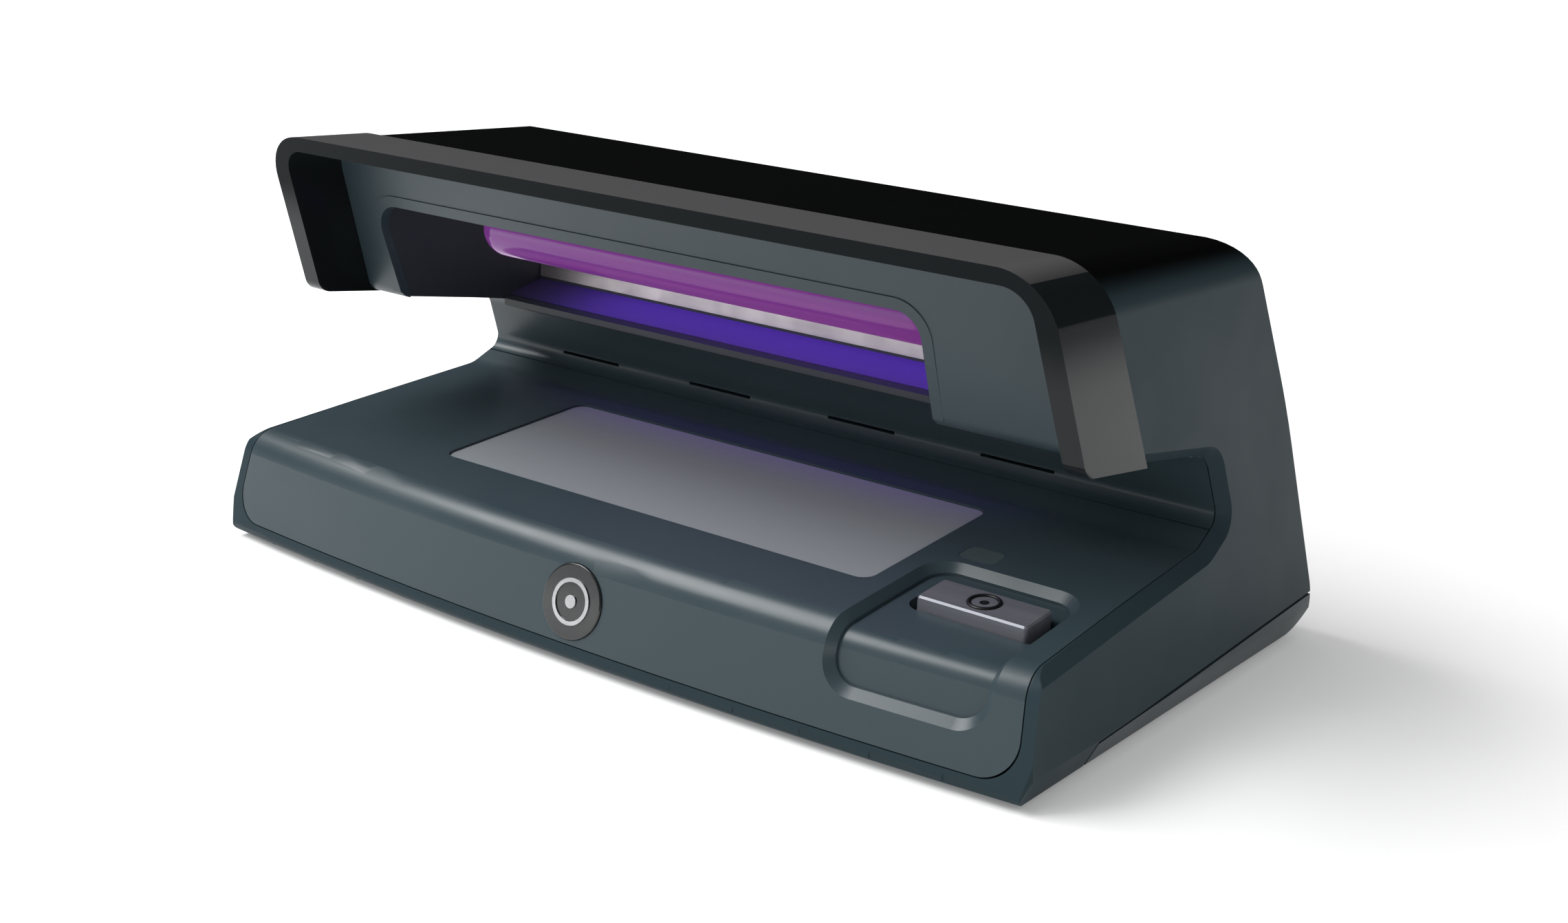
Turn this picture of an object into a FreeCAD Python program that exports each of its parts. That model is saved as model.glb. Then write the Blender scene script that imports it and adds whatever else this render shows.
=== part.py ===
"""Counter-top counterfeit bill detector: a C-shaped housing with an ultraviolet lamp over a lit deck.

Frame: millimetres, X across the front (positive to the operator's right), Y from front to back,
Z up from the surface it stands on, origin at the centre of the footprint.
"""
import FreeCAD, Part
import math
import os

V = FreeCAD.Vector

# ---- driving dimensions -------------------------------------------------------------------------
SIDE_HALF = 104.4        # half width where the leaning sides would reach the ground
BASE_HALF = 102.0        # half width of the tucked-in base
TUCK_TOP = 6.0           # height at which the tuck starts
FRONT_Y = -65.2          # foremost point, at the middle of the bottom lip
BOW = 4.2                # how far the front bulges between its ends
BOW_HALF = 95.0          # half the width over which it bulges
CENTRE_SHIFT = 2.1       # brings the footprint's centre to the origin
FOOT_DROP = 1.0          # how far the feet stand out under the base
SIDE_LEAN = 0.10         # how much the sides lean inward per millimetre of height
WALL = 2.2               # wall of every casing
SEAM = 0.25              # open line between neighbouring casings
BASE_SEAM = 0.6          # open line around the base cover
DECK_CORNER = 7.0        # rounding of the deck cover's lower corners, seen from the front
BEVEL = 2.5              # bevel along the inner edge of the two cheeks
TOP_ROUND = 10.0         # rounding of the two long top edges
PLAN_ROUND = 9.0         # rounding of the upright corners at the front
DECK_FRONT = (-60.2, 23.28)  # where front face and deck would meet
DECK_BACK = (8.5, 30.2)      # where the deck turns up towards the column
DECK_SEAM = (17.0, 34.4)     # foot of the column
ARM_ROOT = (11.2, 48.0)      # where column and arm meet
ARM_STEP = (-18.4, 51.9)     # lower end of the step behind the bezel
TOP_STEP = (-34.6, 89.2)     # upper end of that step
TOP_REAR = (25.3, 89.2)      # where top and rear would meet
REAR_KNEE = (44.5, 52.1)
REAR_FOOT = (64.1, 1.0)
BEZEL_TOP = (-54.6, 90.0)
BEZEL_LOW = (-41.1, 54.2)
BEZEL_PROUD = 0.3        # how far the bezel stands out from the sides
BEZEL_WALL = 4.4
BEZEL_RIM = 3.2          # thickness of the bezel over the lamp panel
PANEL_SETBACK = 14.0     # lamp panel behind the front of the bezel
LAMP_OPENING = (-84.5, 59.0)     # left and right edge of the lamp opening
LAMP_OPENING_TOP = 75.0
RIM_PROUD = 0.35         # how far the rim around the lamp opening stands out
BUTTON_SIZE = (23.4, 9.2)
BUTTON_X = 79.2
BUTTON_Y = -37.2
BUTTON_TRAVEL = 1.5
BODY_GAP = 0.3           # between pieces that move against each other
WINDOW_SIZE = (112.0, 42.5)
WINDOW_Y = -19.8         # middle of the backlight window
GUIDE_GAP = 0.25         # between the deck and the light guide under it
SCOOP_DEPTH = 2.2
SCOOP_SLOPE = 1.6        # bevel around the scoop, taken off its walls
SCOOP = (62.0, 92.5, -25.5, 12.5)    # thumb scoop: left, right, rear edge and lowest point
TUBE_RADIUS = 6.0
TUBE_PITCH = 13.6
TUBE_LEFT = -65.0        # closed end of the lamp
TUBE_LENGTH = 129.0
LAMP_Y = -12.0
LAMP_Z = 71.5
CHAMBER_REAR = 16.5      # inner face of the lamp chamber's rear wall
CHAMBER_TOP = 80.0
CHAMBER_WALL = 1.4
BOARD_THICK = 1.6
FLOOR = FOOT_DROP + WALL     # top of the base cover's floor
JACK_X = 60.0

# inner mouldings, screws and feet
LEDGE_THICK = 1.6
LEDGE_WIDTH = 3.2
BOSS_RADIUS = 3.6
SCREW_PILOT = 1.5
SCREW_LENGTH = 9.0
SCREW_X = 50.0
SCREW_Y_FRONT = -47.0
SCREW_Y_REAR = 44.0
REAR_BOSS_TOP = 24.0
FOOT_X = 80.0
FOOT_Y = (-45.0, 43.0)
FOOT_RADIUS = 6.0
FOOT_RECESS = 0.5
JACK_Z = (11.0, 21.0)

# deck, badge and column details
WINDOW_LEDGE = 1.7
INDICATOR = (67.0, -18.8)
BADGE_X = 3.0
BADGE_Z = 12.6
BADGE_RADIUS = 7.4
BADGE_SINK = 0.8
COLUMN_SLOT_FIRST = -67.0
COLUMN_SLOT_PITCH = 40.0
COLUMN_SLOT_LENGTH = 18.0
COLUMN_SLOT_Z = (35.5, 36.2)

# base cover
VENT_COUNT = 9
VENT_FIRST = 4.0
VENT_PITCH = 5.0
LABEL_THICK = 0.3
BOARD_Z = 7.4
BOARD_HOLES_X = (-42.0, 32.0)
BOARD_HOLES_Y = (16.0, 46.0)
SWITCH_BOARD_Z = 4.4

# lamp holder and clip
SHELF_Z = 62.8
HOLDER_X = (75.0, 92.0)
CLIP_X = 54.0

# backlight
LED_COUNT = 12
LED_PITCH = 9.0
LED_FIRST = -49.5

# power key
BUTTON_STAND = 2.5       # key top above the floor of the scoop
FLANGE_LOW = 19.3        # underside of the key's flange
SPRING_SEAT = 14.3       # top of the guide's floor
STEM_RADIUS = 2.0
STEM_LOW = 12.0
SPRING_RADIUS = 3.3
SPRING_WIRE = 0.7
SWITCH_TOP = 10.4
PLUNGER_LOW = 7.8
CONNECTOR_X = (12.0, 23.0)

DECK_TILT = math.degrees(math.atan2(DECK_BACK[1] - DECK_FRONT[1], DECK_BACK[0] - DECK_FRONT[0]))
PANEL_SLOPE = (BEZEL_LOW[0] - BEZEL_TOP[0]) / (BEZEL_TOP[1] - BEZEL_LOW[1])
parts = {}


# ---- helpers ------------------------------------------------------------------------------------
def place(axis, u, v, along):
    """Point from its two outline coordinates and its position along the extrusion axis."""
    if axis == "X":
        return V(along, u, v)
    if axis == "Y":
        return V(u, along, v)
    return V(u, v, along)


def outline(axis, corners, along):
    """Closed wire through the corners (u, v, radius), each corner rounded by its radius."""
    edges = []
    count = len(corners)
    trims = []
    for i in range(count):
        here = V(corners[i][0], corners[i][1], 0)
        before = V(corners[i - 1][0], corners[i - 1][1], 0)
        after = V(corners[(i + 1) % count][0], corners[(i + 1) % count][1], 0)
        radius = corners[i][2] if len(corners[i]) > 2 else 0
        to_before = (before - here).normalize()
        to_after = (after - here).normalize()
        if radius == 0:
            trims.append((here, None, here))
            continue
        half = to_before.getAngle(to_after) / 2
        run = radius / math.tan(half)
        middle = (to_before + to_after).normalize()
        centre = here + middle * (radius / math.sin(half))
        trims.append((here + to_before * run, centre - middle * radius, here + to_after * run))
    for i in range(count):
        start, bend, end = trims[i]
        if bend is not None:
            points = [place(axis, p.x, p.y, along) for p in (start, bend, end)]
            edges.append(Part.Arc(*points).toShape())
        following = trims[(i + 1) % count][0]
        if (following - end).Length > 1e-6:
            edges.append(Part.makeLine(place(axis, end.x, end.y, along),
                                       place(axis, following.x, following.y, along)))
    return Part.Wire(edges)


def prism(axis, corners, start, end, grow=0.0):
    """Solid with the given outline from start to end along an axis, its outline grown by a margin."""
    wire = outline(axis, corners, start)
    if grow:
        wire = wire.makeOffset2D(grow)
    direction = place(axis, 0, 0, end - start)
    return Part.Face(wire).extrude(direction)


def block(x0, x1, y0, y1, z0, z1, radius=0.0):
    """Upright block, its four upright edges rounded if a radius is given."""
    corners = [(x0, y0, radius), (x1, y0, radius), (x1, y1, radius), (x0, y1, radius)]
    return prism("Z", corners, z0, z1)


def rod(radius, length, base, direction=V(0, 0, 1)):
    return Part.makeCylinder(radius, length, base, direction)


def tube(outer, inner, length, base, direction=V(0, 0, 1)):
    return rod(outer, length, base, direction).cut(rod(inner, length, base, direction))


def join(*shapes):
    return shapes[0].multiFuse(list(shapes[1:])).removeSplitter()


def screw(radius, length, base, direction, head_radius, head_height):
    """Pan-head screw with a cross recess; its base is the underside of the head."""
    head = rod(head_radius, head_height, base - direction * head_height, direction)
    shank = rod(radius, length, base, direction)
    body = head.fuse(shank)
    slot = 0.35 * head_radius
    for turn in (0, 90):
        bar = Part.makeBox(1.3 * head_radius, slot, head_height / 2)
        bar.translate(V(-0.65 * head_radius, -slot / 2, 0))
        bar.rotate(V(0, 0, 0), V(0, 0, 1), turn)
        bar.Placement = FreeCAD.Placement(base - direction * head_height,
                                          FreeCAD.Rotation(V(0, 0, 1), direction)) * bar.Placement
        body = body.cut(bar)
    return body


def deck_z(y):
    """Height of the deck surface above a point of the footprint."""
    return DECK_FRONT[1] + (y - DECK_FRONT[0]) * math.tan(math.radians(DECK_TILT))


def on_deck(shape, x, y):
    """Move a shape modelled about the origin so that its z = 0 plane lies on the deck."""
    shape = shape.copy()
    shape.rotate(V(0, 0, 0), V(1, 0, 0), DECK_TILT)
    shape.translate(V(x, y, deck_z(y)))
    return shape


def panel_y(z, setback=0.0):
    """Y of the plane parallel to the bezel's front, a setback behind it, at height z."""
    return BEZEL_TOP[0] + setback + (BEZEL_TOP[1] - z) * PANEL_SLOPE


def side_x(z, inset=0.0):
    """Half width of the leaning sides at height z."""
    return SIDE_HALF - SIDE_LEAN * z - inset


# ---- the common outer form ----------------------------------------------------------------------
BODY_OUTLINE = [
    (-80.0, FOOT_DROP), (-80.0, 21.28), (DECK_BACK[0], DECK_BACK[1], 8.0),
    (DECK_SEAM[0], DECK_SEAM[1], 3.0), (ARM_ROOT[0], ARM_ROOT[1], 6.0), ARM_STEP, TOP_STEP,
    (TOP_REAR[0], TOP_REAR[1], 20.0), (REAR_KNEE[0], REAR_KNEE[1], 150.0), (REAR_FOOT[0], REAR_FOOT[1], 8.0)]


# What lies behind the bowed front; the far points pass through the empty throat and round the arm.
FRONT_OUTLINE = [
    (FRONT_Y, FOOT_DROP, 2.0), (DECK_FRONT[0], DECK_FRONT[1], 6.5), (0.0, 30.1), (0.0, 40.0), (-95.0, 45.0),
    (-95.0, 150.0), (150.0, 150.0), (150.0, FOOT_DROP)]


def bowed_front(inset):
    """Solid behind the front face, which bulges forward about an upright axis far behind."""
    radius = (BOW_HALF ** 2 + BOW ** 2) / (2 * BOW)
    wire = outline("X", FRONT_OUTLINE, 0)
    if inset:
        wire = wire.makeOffset2D(-inset)
    face = Part.Face(wire)
    axis = V(0, FRONT_Y + radius, 0)
    half_angle = 8.0
    face.rotate(axis, V(0, 0, 1), -half_angle)
    return face.revolve(axis, V(0, 0, 1), 2 * half_angle)


def profile(inset):
    """The C-shaped section carried across the width, with its bowed front."""
    return prism("X", BODY_OUTLINE, -120, 120, -inset).common(bowed_front(inset))


def side_limits(inset, rounding, top):
    """Solid between the two leaning sides, with rounded long edges at the top."""
    low, foot = -5.0, BASE_HALF - inset
    corners = [(-foot, low), (foot, low), (foot, FOOT_DROP), (side_x(TUCK_TOP, inset), TUCK_TOP),
               (side_x(top, inset), top, rounding), (-side_x(top, inset), top, rounding),
               (-side_x(TUCK_TOP, inset), TUCK_TOP), (-foot, FOOT_DROP)]
    return prism("Y", corners, -80, 80)


def plan_limits(inset):
    """Upright solid of the footprint, with rounded front corners."""
    x = SIDE_HALF + 1 - inset
    y = FRONT_Y + BOW + inset
    corners = [(-x, y, PLAN_ROUND), (0, y - 14), (x, y, PLAN_ROUND), (x, 80), (-x, 80)]
    return prism("Z", corners, -10, 120)


def form(inset):
    """Outer form of the housing, or its hollow when inset by the wall."""
    rounding = TOP_ROUND - inset
    return profile(inset).common(side_limits(inset, rounding, TOP_REAR[1] - inset)).common(plan_limits(inset))


def on_side(point):
    """True for a point on one of the leaning sides."""
    return abs(abs(point.x) - side_x(point.z)) < 0.05


def inner_edges(shape):
    """Edges where the cheeks' sides meet the deck, the column and the arm's underside."""
    chosen = []
    for edge in shape.Edges:
        middle = edge.valueAt((edge.FirstParameter + edge.LastParameter) / 2)
        ends = [v.Point for v in edge.Vertexes]
        on_both = on_side(middle) and all(on_side(p) for p in ends)
        if on_both and middle.y < DECK_SEAM[0] + 1 and 22 < middle.z < 53 and middle.y > -50:
            chosen.append(edge)
    return chosen


def housing_form():
    """The whole C-shaped body with its bevelled cheeks, before it is hollowed and divided."""
    body = prism("X", BODY_OUTLINE, -120, 120).common(side_limits(0, TOP_ROUND, TOP_REAR[1]))
    bevelled = body.makeChamfer(BEVEL, inner_edges(body))
    return bevelled.common(bowed_front(0)).common(plan_limits(0))


# ---- regions of the skin that belong to separate mouldings (outlines in Y and Z) -----------------
DECK_REGION = [(-72, 4.3), (-52, 4.3), (-46, 19), (2, 21), (15.6, 26), (12.6, 38), (-72, 32)]
COLUMN_REGION = [(15.6, 26), (24, 30), (18, 53), (4.5, 54), (4.5, 45), (7, 44), (12.6, 38)]
BASE_REGION = [(-38.5, -2), (-34.5, 5.4), (70, 9.9), (70, -2)]
BASE_TONGUE = (-88, 88, -57, -30, -2, 8)


def skin_region(corners, inset, shrink):
    """Part of space that a moulding between the two cheeks takes up."""
    low, high = DECK_REGION[0][1] + shrink, 120
    half_low, half_high = side_x(low, inset + shrink), side_x(high, inset + shrink)
    limits = prism("Y", [(-half_low, low, DECK_CORNER), (half_low, low, DECK_CORNER), (half_high, high),
                         (-half_high, high)], -80, 80)
    return prism("X", corners, -120, 120, -shrink).common(limits)


def base_region(shrink):
    low = prism("X", BASE_REGION, -120, 120, -shrink)
    x0, x1, y0, y1, z0, z1 = BASE_TONGUE
    tongue = block(x0 + shrink, x1 - shrink, y0 + shrink, y1, z0, z1)
    return low.fuse(tongue)


def build_shells():
    """Divide the hollowed body into main housing, deck cover, column panel and base cover."""
    skin = housing_form().cut(form(WALL))
    deck_inset = BEVEL - 0.1
    regions = [(DECK_REGION, "deck_cover"), (COLUMN_REGION, "column_panel")]
    main = skin
    for corners, name in regions:
        parts[name] = skin.common(skin_region(corners, deck_inset, SEAM))
        main = main.cut(skin_region(corners, deck_inset, 0))
    parts["base_cover"] = skin.common(base_region(BASE_SEAM))
    underside = [(4.5, 45), (4.5, 54), (-19, 56), (-24, 50)]
    main = main.cut(base_region(0)).cut(skin_region(underside, deck_inset, 0))
    parts["main_housing"] = main.cut(form_hollow(0))


def add_main_housing():
    """Ledges that carry the inner mouldings, screw bosses, and the opening for the power jack."""
    throat_side = [(-70, 6.5), (-50, 6.5), (-42, 15), (4, 17), (24, 24), (26, 40), (20, 58), (-13.5, 60),
                   (-13.5, 48), (3, 44), (10, 34), (-66, 34)]
    band = form(WALL).cut(profile(WALL + LEDGE_THICK))
    ledges = band.common(prism("X", throat_side, -120, 120)).cut(side_limits(WALL + LEDGE_WIDTH, 0, 120))
    body = parts["main_housing"].fuse(ledges)
    for side in (-1, 1):
        boss = rod(BOSS_RADIUS, REAR_BOSS_TOP - FLOOR - 0.1, V(side * SCREW_X, SCREW_Y_REAR, FLOOR + 0.1))
        rib = block(side * SCREW_X - 1, side * SCREW_X + 1, SCREW_Y_REAR, 70, 12, REAR_BOSS_TOP)
        rib = rib.common(form(WALL - 0.5))
        pilot = rod(SCREW_PILOT, SCREW_LENGTH, V(side * SCREW_X, SCREW_Y_REAR, FLOOR))
        body = body.fuse(boss.fuse(rib).cut(pilot))
    opening = block(JACK_X - 4.8, JACK_X + 4.8, 45, 70, JACK_Z[0] - 0.3, JACK_Z[1] + 0.3)
    parts["main_housing"] = body.cut(opening).removeSplitter()


def scoop_region(grow=0.0):
    """Space of the thumb scoop as seen from above and from the front."""
    left, right, rear, low = SCOOP
    from_above = [(left, -80, 0), (right, -80, 0), (right, rear, 5), (left, rear, 5)]
    from_front = [(left, low, 5), (right, low, 5), (right, 60, 0), (left, 60, 0)]
    above = prism("Z", from_above, 0, 60, grow)
    return above.common(prism("Y", from_front, -90, 0, grow))


def scoop_rim(deck):
    """Edges where the scoop's walls meet the outer face of the deck and the front."""
    left, right, rear, low = SCOOP
    outer = form(0).Shells[0]
    chosen = []
    for edge in deck.Edges:
        middle = edge.valueAt((edge.FirstParameter + edge.LastParameter) / 2)
        inside = left - 0.5 < middle.x < right + 0.5 and middle.y < rear + 0.5 and middle.z > low - 0.5
        on_wall = min(middle.x - left, right - middle.x) < 0.05 or middle.y > rear - 5.1 or middle.z < low + 5
        if inside and on_wall and Part.Vertex(middle).distToShape(outer)[0] < 0.02:
            chosen.append(edge)
    return chosen


def button_hole(margin):
    """Upright outline of the oblong hole around the power button."""
    half_x = BUTTON_SIZE[0] / 2 + 2.6 + margin
    half_y = BUTTON_SIZE[1] / 2 + 0.5 + margin
    return block(BUTTON_X - half_x, BUTTON_X + half_x, BUTTON_Y - half_y, BUTTON_Y + half_y, 10, 60, 3.4)


def add_deck_cover():
    deck = parts["deck_cover"]
    skin = form(SCOOP_DEPTH).cut(form(SCOOP_DEPTH + WALL))
    floor = skin.common(scoop_region(1.8)).cut(form(0).cut(form(SCOOP_DEPTH)))
    deck = deck.cut(scoop_region()).fuse(floor)
    deck = deck.makeChamfer(SCOOP_SLOPE, scoop_rim(deck)).cut(button_hole(0))
    half_x, half_y = WINDOW_SIZE[0] / 2, WINDOW_SIZE[1] / 2
    pocket = on_deck(block(-half_x, half_x, -half_y, half_y, -WINDOW_LEDGE, 2, 3), 0, WINDOW_Y)
    inner = on_deck(block(2 - half_x, half_x - 2, 2 - half_y, half_y - 2, -6, 2, 2), 0, WINDOW_Y)
    deck = deck.cut(pocket).cut(inner)
    deck = deck.cut(on_deck(block(-4.1, 4.1, -3.1, 3.1, -5, 2, 1.6), INDICATOR[0], INDICATOR[1]))
    deck = deck.cut(on_front(rod(BADGE_RADIUS + 0.1, 2, V(0, 0, -BADGE_SINK)), BADGE_X, BADGE_Z))
    for side in (-1, 1):
        boss = rod(BOSS_RADIUS, 30, V(side * SCREW_X, SCREW_Y_FRONT, FLOOR + 0.1)).common(form(WALL - 0.2))
        pilot = rod(SCREW_PILOT, SCREW_LENGTH, V(side * SCREW_X, SCREW_Y_FRONT, FLOOR))
        deck = deck.fuse(boss.cut(pilot))
    parts["deck_cover"] = deck.removeSplitter()


def on_front(shape, x, z):
    """Move a shape modelled about the origin so that its z = 0 plane lies on the front face."""
    lean = math.degrees(math.atan2(DECK_FRONT[0] - FRONT_Y, DECK_FRONT[1] - FOOT_DROP))
    y = FRONT_Y + (z - FOOT_DROP) * math.tan(math.radians(lean))
    shape = shape.copy()
    shape.rotate(V(0, 0, 0), V(1, 0, 0), 90 - lean)
    shape.translate(V(x, y, z))
    return shape


def add_column_panel():
    panel = parts["column_panel"]
    for i in range(4):
        middle = COLUMN_SLOT_FIRST + i * COLUMN_SLOT_PITCH
        half = COLUMN_SLOT_LENGTH / 2
        panel = panel.cut(block(middle - half, middle + half, 10, 24, *COLUMN_SLOT_Z))
    lip_space = block(LAMP_OPENING[0] - SEAM, LAMP_OPENING[1] + SEAM, 4, 7.8, 47.1, 52)
    parts["column_panel"] = panel.cut(chamber_space(CHAMBER_WALL + SEAM)).cut(lip_space).removeSplitter()


def add_base_cover():
    """Floor with feet recesses, screw holes, vents, board posts and the jack's seat."""
    base = parts["base_cover"]
    for side in (-1, 1):
        for y in (SCREW_Y_FRONT, SCREW_Y_REAR):
            base = base.cut(rod(1.8, 6, V(side * SCREW_X, y, 0)))
            base = base.cut(rod(3.3, 1.2, V(side * SCREW_X, y, FOOT_DROP)))
        for y in FOOT_Y:
            base = base.cut(rod(FOOT_RADIUS + 0.1, FOOT_RECESS, V(side * FOOT_X, y, FOOT_DROP)))
    for i in range(VENT_COUNT):
        x = VENT_FIRST + i * VENT_PITCH
        base = base.cut(block(x, x + 2, -12, 8, -1, 6, 0.9))
    base = base.cut(block(-60, -20, -40, -18, -1, FOOT_DROP + LABEL_THICK))
    posts = [rod(2.6, BOARD_Z - FLOOR + 0.1, V(x, y, FLOOR - 0.1))
             for x in BOARD_HOLES_X for y in BOARD_HOLES_Y]
    posts += [rod(2.2, SWITCH_BOARD_Z - FLOOR + 0.1, V(x, BUTTON_Y, FLOOR - 0.1))
              for x in (BUTTON_X - 10, BUTTON_X + 6)]
    seat = block(JACK_X - 5, JACK_X + 5, 44, 55, FLOOR - 0.1, JACK_Z[0])
    base = join(base, seat, *posts)
    holes = [rod(1.0, 4, V(x, y, BOARD_Z - 3)) for x in BOARD_HOLES_X for y in BOARD_HOLES_Y]
    parts["base_cover"] = base.cut(holes[0].multiFuse(holes[1:]))


def add_feet_and_screws():
    feet = [rod(FOOT_RADIUS, FOOT_DROP + FOOT_RECESS, V(side * FOOT_X, y, 0))
            for side in (-1, 1) for y in FOOT_Y]
    parts["rubber_feet"] = Part.makeCompound(feet)
    screws = [screw(SCREW_PILOT, 8, V(side * SCREW_X, y, FOOT_DROP + 1.2), V(0, 0, 1), 3.0, 1.2)
              for side in (-1, 1) for y in (SCREW_Y_FRONT, SCREW_Y_REAR)]
    parts["base_screws"] = Part.makeCompound(screws)
    parts["rating_plate"] = block(-59.9, -20.1, -39.9, -18.1, FOOT_DROP, FOOT_DROP + LABEL_THICK)


# ---- the lamp head ------------------------------------------------------------------------------
def add_front_bezel():
    """Gloss hood around the front of the arm, with a tongue that slides into the housing."""
    step_slope = (TOP_STEP[0] - ARM_STEP[0]) / (TOP_STEP[1] - ARM_STEP[1])
    rear_top_y = TOP_STEP[0] - SEAM + (BEZEL_TOP[1] - TOP_STEP[1]) * step_slope
    ring_outline = [BEZEL_TOP, BEZEL_LOW + (4.0,), (ARM_STEP[0] - SEAM, ARM_STEP[1]),
                    (rear_top_y, BEZEL_TOP[1])]
    ring = prism("X", ring_outline, -120, 120).common(side_limits(-BEZEL_PROUD, TOP_ROUND + 1, BEZEL_TOP[1]))
    opening = side_limits(BEZEL_WALL - BEZEL_PROUD, TOP_ROUND - 4, BEZEL_TOP[1] - BEZEL_RIM)
    ring = ring.cut(opening)
    tongue_outline = [(TOP_STEP[0] - 1.5, 92), (ARM_STEP[0] - 3, 56), (ARM_STEP[0] + 2.5, 56),
                      (TOP_STEP[0] + 4, 92)]
    tongue = prism("X", tongue_outline, -120, 120).common(form_hollow(0.05)).cut(form_hollow(1.6))
    parts["front_bezel"] = ring.fuse(tongue).removeSplitter()


def form_hollow(margin):
    """The arm's inner space, carried forward through the open front, inset by a margin."""
    inset = WALL + margin
    space = side_limits(inset, TOP_ROUND - inset, TOP_REAR[1] - inset)
    return space.common(Part.makeBox(240, 60, 60, V(-120, -50, 49)))


def lamp_panel_outline():
    """Front plate of the lamp head and the plate under it, one bent section."""
    thick = WALL - 0.05
    top = BEZEL_TOP[1] - BEZEL_RIM - 0.15
    slope = (ARM_ROOT[1] - ARM_STEP[1]) / (ARM_ROOT[0] - ARM_STEP[0])
    low_y = panel_y(54.0, PANEL_SETBACK)
    rear_y = 4.3

    def under(y):
        return ARM_STEP[1] + (y - ARM_STEP[0]) * slope

    return [(panel_y(top, PANEL_SETBACK), top), (low_y, under(low_y), 4.0), (rear_y, under(rear_y)),
            (rear_y, under(rear_y) + thick), (low_y + thick, under(low_y) + thick, 1.8),
            (panel_y(top, PANEL_SETBACK) + thick, top)]


def opening_outline(grow):
    """Lamp opening as seen from the front, open at the bottom."""
    left, right = LAMP_OPENING[0] - grow, LAMP_OPENING[1] + grow
    top = LAMP_OPENING_TOP + grow
    return [(left, 30), (right, 30), (right, top, 5 + grow), (left, top, 7 + grow)]


def add_lamp_panel():
    inset = BEZEL_WALL - BEZEL_PROUD + 0.12
    limits = side_limits(inset, TOP_ROUND - 4.2, BEZEL_TOP[1] - BEZEL_RIM - 0.12)
    panel = prism("X", lamp_panel_outline(), -120, 120).common(limits)
    rim_band = [(panel_y(85, PANEL_SETBACK - RIM_PROUD), 85), (panel_y(50, PANEL_SETBACK - RIM_PROUD), 50),
                (panel_y(50, PANEL_SETBACK + 1), 50), (panel_y(85, PANEL_SETBACK + 1), 85)]
    above_edge = Part.makeBox(240, 60, 40, V(-120, -60, 54.2))
    rim = prism("Y", opening_outline(2.4), -60, 10).common(prism("X", rim_band, -120, 120)).common(above_edge)
    panel = panel.fuse(rim)
    panel = panel.cut(prism("Y", opening_outline(0), -60, 4.4))
    behind_front = panel_y(54.0, PANEL_SETBACK) + 2.4
    reach = CHAMBER_WALL + 0.1
    under = block(LAMP_OPENING[0] - reach, LAMP_OPENING[1] + reach, behind_front, 4.4, 40, 60)
    parts["lamp_panel"] = panel.cut(chamber_space(reach)).cut(under).removeSplitter()


def chamber_section(grow):
    """Section of the lamp chamber's inner space, from the lip at the column to its top."""
    front = panel_y(CHAMBER_TOP, PANEL_SETBACK) + 2.4
    low = panel_y(54.0, PANEL_SETBACK) + 2.4
    return [(front - grow, CHAMBER_TOP + grow), (CHAMBER_REAR + grow, CHAMBER_TOP + grow),
            (CHAMBER_REAR + grow, 52.6 - grow), (5.6, 49.9 - grow), (4.5, 49.0), (low, 53.2)]


def chamber_space(grow):
    left, right = LAMP_OPENING[0] - grow, LAMP_OPENING[1] + grow
    return prism("X", chamber_section(grow), left, right)


def add_lamp_chamber():
    """Tray behind the lamp opening: top, rear wall, sloping floor, lip and two end walls."""
    inner = chamber_space(0)
    lower_part = Part.makeBox(240, 64.6, 29, V(-120, -60, 46))
    clear_front = prism("Y", opening_outline(0), -60, 4.6).common(lower_part)
    lip_outline = [(4.6, 47.3, 0.5), (7.6, 47.3), (7.6, 50.6), (4.6, 50.2, 0.8)]
    lip = prism("X", lip_outline, LAMP_OPENING[0], LAMP_OPENING[1])
    shell = chamber_space(CHAMBER_WALL).cut(inner).cut(clear_front).fuse(lip.cut(inner))
    shelf = block(LAMP_OPENING[1], HOLDER_X[1] + 1, LAMP_Y - 14, LAMP_Y + 14, SHELF_Z - 1.6, SHELF_Z)
    rib = block(LAMP_OPENING[1] + 1, 84.0, LAMP_Y - 1, LAMP_Y + 1, SHELF_Z - 6, SHELF_Z - 1)
    shell = shell.fuse(shelf).fuse(rib)
    through = block(LAMP_OPENING[1] - 2, LAMP_OPENING[1] + 4, LAMP_Y - 15.4, LAMP_Y + 15.4, SHELF_Z,
                    CHAMBER_TOP - 0.3)
    screw_holes = [rod(0.9, 6, V(x, y, SHELF_Z - 4)) for x, y in holder_screw_places()]
    parts["lamp_chamber"] = shell.cut(through).cut(screw_holes[0].fuse(screw_holes[1])).removeSplitter()


def holder_screw_places():
    return [(HOLDER_X[0] + 9, LAMP_Y - 11.5), (HOLDER_X[0] + 9, LAMP_Y + 11.5)]


def add_reflector():
    """Bent aluminium sheet behind and above the lamp."""
    rear, top, thick = CHAMBER_REAR, CHAMBER_TOP, 0.5
    front = panel_y(CHAMBER_TOP, PANEL_SETBACK) + 3.2
    section = [(rear - thick, 53.4), (rear, 53.4), (rear, top, 4.0), (front, top), (front, top - thick),
               (rear - thick, top - thick, 3.5)]
    sheet = prism("X", section, LAMP_OPENING[0] + 0.4, LAMP_OPENING[1] - 0.4)
    parts["reflector"] = sheet


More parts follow.
